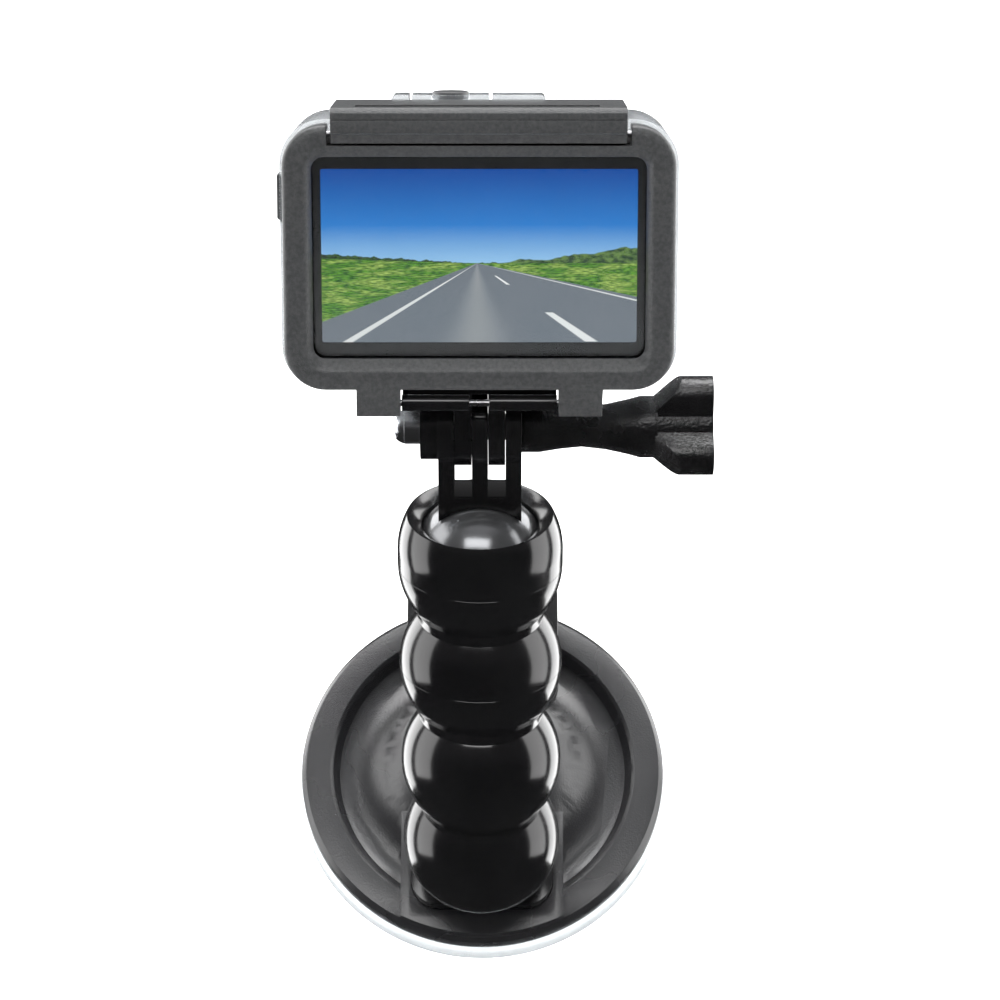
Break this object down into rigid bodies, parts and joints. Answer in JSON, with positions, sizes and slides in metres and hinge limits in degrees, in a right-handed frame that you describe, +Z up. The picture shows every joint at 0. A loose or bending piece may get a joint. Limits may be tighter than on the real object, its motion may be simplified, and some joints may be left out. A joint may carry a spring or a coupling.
{
  "type": "dash camera",
  "caption": "Dash camera in a sealed housing with rear screen, on a clamp fork, a segmented ball arm and a lever suction base.",
  "frame": {"origin": "centre of the suction face, where it meets the glass", "axes": "+Z up, +X to the right of someone facing the screen, +Y forwards out of the lens"},
  "size_m": [0.0817, 0.1045, 0.1797],
  "materials": {
    "clear_rubber": "soft, translucent",
    "base_plastic": "satin moulded",
    "gloss_black": "high gloss",
    "screw_steel": "turned steel",
    "chrome": "polished",
    "knob_plastic": "coarse satin",
    "housing_clear": "frosted clear polycarbonate",
    "housing_grey": "fine spark texture",
    "window_glass": "clear",
    "seal_rubber": "matte",
    "case_plastic": "fine",
    "screen_black": "gloss black",
    "screen_lit": "lit picture",
    "board_green": "solder mask",
    "cell_wrap": "shrink wrap",
    "lens_black": "black anodised",
    "lens_glass": "coated"
  },
  "bodies": {
    "base": {"suction_cup": "clear_rubber", "base_shell": "base_plastic", "spring_washer": "screw_steel", "arm_foot": "gloss_black", "foot_screws": "screw_steel", "lever_pin": "screw_steel", "segment_4_body": "gloss_black", "segment_4_cap": "gloss_black"},
    "lever": {"cam_lever": "gloss_black"},
    "plunger": {"draw_stud": "base_plastic", "cup_boss": "clear_rubber"},
    "stud_3": {"segment_3_stud": "gloss_black"},
    "segment_3": {"segment_3_body": "gloss_black", "segment_3_cap": "gloss_black"},
    "stud_2": {"segment_2_stud": "gloss_black"},
    "segment_2": {"segment_2_body": "gloss_black", "segment_2_cap": "gloss_black"},
    "stud_1": {"segment_1_stud": "gloss_black"},
    "segment_1": {"segment_1_body": "gloss_black", "segment_1_cap": "gloss_black"},
    "fork": {"fork_mount": "gloss_black", "cap_nut": "chrome"},
    "thumbscrew": {"thumb_knob": "knob_plastic", "clamp_screw": "screw_steel"},
    "housing": {"housing_front": "housing_clear", "housing_foot": "housing_grey", "lens_port_glass": "window_glass", "lens_port_ring": "housing_grey", "camera_case": "case_plastic", "screen_bezel": "screen_black", "screen_panel": "screen_lit", "main_board": "board_green", "battery": "cell_wrap", "image_sensor": "lens_black", "lens_barrel": "lens_black", "front_lens": "lens_glass", "hinge_pin": "screw_steel"},
    "side_key": {"side_key": "housing_grey"},
    "shutter_button": {"shutter_button": "housing_grey"},
    "door": {"door_frame": "housing_grey", "door_window": "window_glass", "door_gasket": "seal_rubber", "latch_pin": "screw_steel"},
    "latch": {"latch_bar": "housing_grey"}
  },
  "joints": [
    {"name": "lever_lift", "type": "hinge", "parent": "base", "child": "lever", "pos_m": [0, -0.00979, 0.00793], "axis": [1, 0, 0], "range_deg": [0, 55]},
    {"name": "plunger_drop", "type": "slide", "parent": "base", "child": "plunger", "axis": [0, -0.7771, 0.6293], "range_m": [-0.0015, 0]},
    {"name": "segment_3_tilt", "type": "hinge", "parent": "base", "child": "stud_3", "pos_m": [0, -0.0374, 0.00069], "axis": [1, 0, 0], "range_deg": [-4, 26]},
    {"name": "segment_3_twist", "type": "hinge", "parent": "stud_3", "child": "segment_3", "pos_m": [0, -0.04739, 0.02029], "axis": [0, -0.454, 0.891], "range_deg": [-90, 90]},
    {"name": "segment_2_tilt", "type": "hinge", "parent": "segment_3", "child": "stud_2", "pos_m": [0, -0.04739, 0.02029], "axis": [1, 0, 0], "range_deg": [-4, 26]},
    {"name": "segment_2_twist", "type": "hinge", "parent": "stud_2", "child": "segment_2", "pos_m": [0, -0.05345, 0.04144], "axis": [0, -0.2756, 0.9613], "range_deg": [-90, 90]},
    {"name": "segment_1_tilt", "type": "hinge", "parent": "segment_2", "child": "stud_1", "pos_m": [0, -0.05345, 0.04144], "axis": [1, 0, 0], "range_deg": [-14, 14]},
    {"name": "segment_1_twist", "type": "hinge", "parent": "stud_1", "child": "segment_1", "pos_m": [0, -0.05988, 0.06248], "axis": [0, -0.2924, 0.9563], "range_deg": [-90, 90]},
    {"name": "fork_tilt", "type": "hinge", "parent": "segment_1", "child": "fork", "pos_m": [0, -0.05988, 0.06248], "axis": [1, 0, 0], "range_deg": [-3, 21]},
    {"name": "head_tilt", "type": "hinge", "parent": "fork", "child": "housing", "pos_m": [0, -0.06356, 0.08862], "axis": [1, 0, 0], "range_deg": [-60, 40]},
    {"name": "thumbscrew_turn", "type": "hinge", "parent": "fork", "child": "thumbscrew", "pos_m": [0, -0.06356, 0.08862], "axis": [1, 0, 0], "continuous": true},
    {"name": "door_swing", "type": "hinge", "parent": "housing", "child": "door", "pos_m": [0, -0.07576, 0.09522], "axis": [1, 0, 0], "range_deg": [0, 100]},
    {"name": "latch_flip", "type": "hinge", "parent": "door", "child": "latch", "pos_m": [0, -0.07716, 0.14342], "axis": [1, 0, 0], "range_deg": [0, 60]},
    {"name": "side_key_press", "type": "slide", "parent": "housing", "child": "side_key", "axis": [1, 0, 0], "range_m": [0, 0.0008], "stiffness_N_per_m": 800},
    {"name": "shutter_press", "type": "slide", "parent": "housing", "child": "shutter_button", "axis": [0, 0, -1], "range_m": [0, 0.0008], "stiffness_N_per_m": 800}
  ],
  "couplings": [
    {"joint": "plunger_drop", "follows": "lever_lift", "m_per_rad": -0.0015626}
  ]
}
